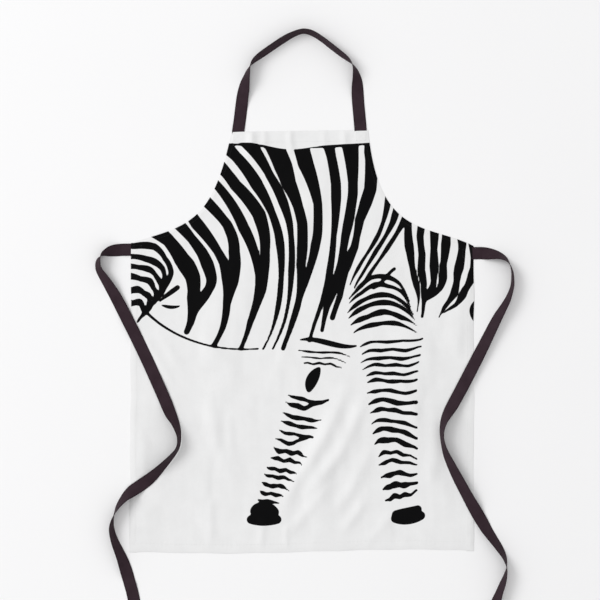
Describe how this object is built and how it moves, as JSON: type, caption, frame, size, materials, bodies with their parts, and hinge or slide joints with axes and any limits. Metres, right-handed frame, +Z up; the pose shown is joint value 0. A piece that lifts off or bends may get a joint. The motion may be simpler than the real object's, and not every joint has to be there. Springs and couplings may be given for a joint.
{
  "type": "bib apron",
  "caption": "Full-length bib apron laid flat, one printed cloth panel with turned hems, a fixed neck loop of woven tape and two waist ties.",
  "frame": {"origin": "middle of the laid apron with its neck loop and without its ties, on the surface it lies on", "axes": "+X across the apron, +Y from the bottom hem to the neck loop, +Z up, out of the printed face"},
  "size_m": [0.8521, 1.2713, 0.03],
  "materials": {
    "cloth": "matt woven cotton and polyester, white with a black stripe print",
    "hem_cloth": "matt woven white cloth, plain side",
    "tape": "dark woven tape with a slight sheen",
    "thread": "white sewing thread",
    "label": "plain satin ribbon"
  },
  "bodies": {
    "apron": {"front_panel": "cloth", "top_hem": "hem_cloth", "bottom_hem": "hem_cloth", "left_armhole_hem": "hem_cloth", "right_armhole_hem": "hem_cloth", "left_side_hem": "hem_cloth", "right_side_hem": "hem_cloth", "neck_strap_left_end": "tape", "neck_strap_right_end": "tape", "left_tie_end": "tape", "right_tie_end": "tape", "top_hem_stitching": "thread", "bottom_hem_stitching": "thread", "left_armhole_stitching": "thread", "right_armhole_stitching": "thread", "left_side_stitching": "thread", "right_side_stitching": "thread", "neck_left_tack": "thread", "neck_right_tack": "thread", "waist_left_tack": "thread", "waist_right_tack": "thread", "care_label": "label"},
    "neck_loop": {"neck_strap": "tape"},
    "left_waist_tie": {"left_tie": "tape", "left_tie_tip": "tape"},
    "right_waist_tie": {"right_tie": "tape", "right_tie_tip": "tape"}
  },
  "joints": [
    {"name": "neck_loop_fold", "type": "hinge", "parent": "apron", "child": "neck_loop", "pos_m": [-0.0054, 0.3277, 0.0035], "axis": [1, 0, 0], "range_deg": [0, 160]},
    {"name": "left_tie_lift", "type": "hinge", "parent": "apron", "child": "left_waist_tie", "pos_m": [-0.3503, 0.098, 0.0015], "axis": [-1, 0, 0], "range_deg": [0, 90]},
    {"name": "right_tie_lift", "type": "hinge", "parent": "apron", "child": "right_waist_tie", "pos_m": [0.3503, 0.0908, 0.0015], "axis": [-1, 0, 0], "range_deg": [0, 90]}
  ]
}
